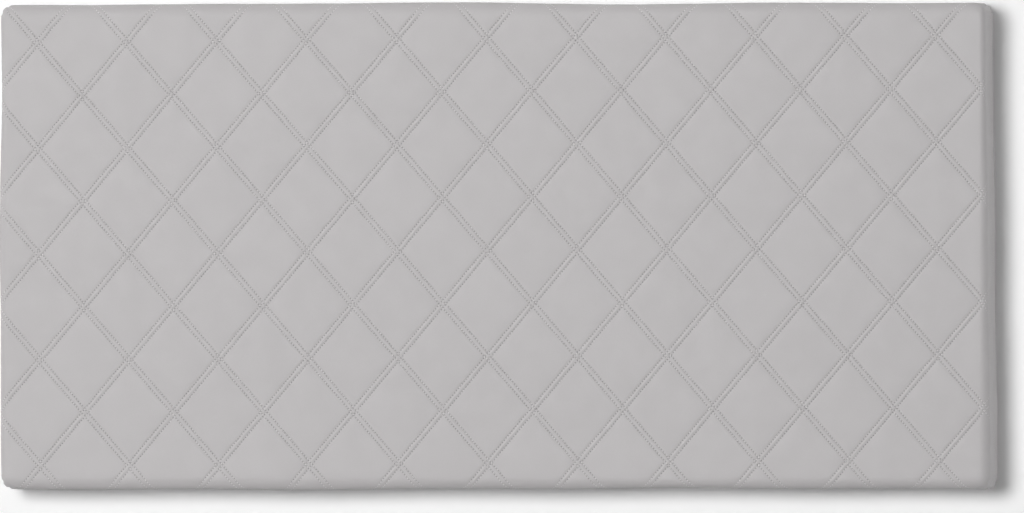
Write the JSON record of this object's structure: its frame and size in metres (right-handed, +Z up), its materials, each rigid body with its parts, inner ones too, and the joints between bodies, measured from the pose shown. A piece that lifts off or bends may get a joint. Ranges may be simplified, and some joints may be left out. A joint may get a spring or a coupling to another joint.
{
  "type": "headboard",
  "caption": "Wall-hung upholstered headboard panel quilted in diamonds with twin-needle rows, hung on hook brackets.",
  "frame": {"origin": "back face of the middle wall bracket, where it meets the wall, midway between its screw slots", "axes": "+X to the right seen from the front, +Y into the wall, +Z up; the quilted front faces -Y"},
  "size_m": [1.2, 0.0672, 0.58],
  "materials": {
    "leatherette": "satin, fine grain",
    "foam": "open-cell foam",
    "wadding": "fibre wadding",
    "dust_cloth": "non-woven",
    "pine": "planed",
    "plywood": "sanded",
    "aluminium": "mill",
    "zinc_steel": "zinc plated",
    "staple_wire": "galvanised wire",
    "rubber": "matt"
  },
  "bodies": {
    "wall_mount": {"wall_brackets": "aluminium"},
    "panel": {"quilted_cover": "leatherette", "back_staples": "staple_wire", "dust_cover": "dust_cloth", "panel_brackets": "aluminium", "bracket_screws": "zinc_steel", "wall_bumpers": "rubber", "bumper_screws": "zinc_steel", "top_rail": "pine", "bottom_rail": "pine", "left_stile": "pine", "right_stile": "pine", "inner_stile_1": "pine", "inner_stile_2": "pine", "inner_stile_3": "pine", "corner_block_top_left": "pine", "corner_block_top_right": "pine", "corner_block_bottom_left": "pine", "corner_block_bottom_right": "pine", "front_board": "plywood", "board_staples": "staple_wire", "foam_pad": "foam", "edge_wadding": "wadding"}
  },
  "joints": [
    {"name": "panel_lift", "type": "slide", "parent": "wall_mount", "child": "panel", "axis": [0, 0, 1], "range_m": [0, 0.015]}
  ]
}
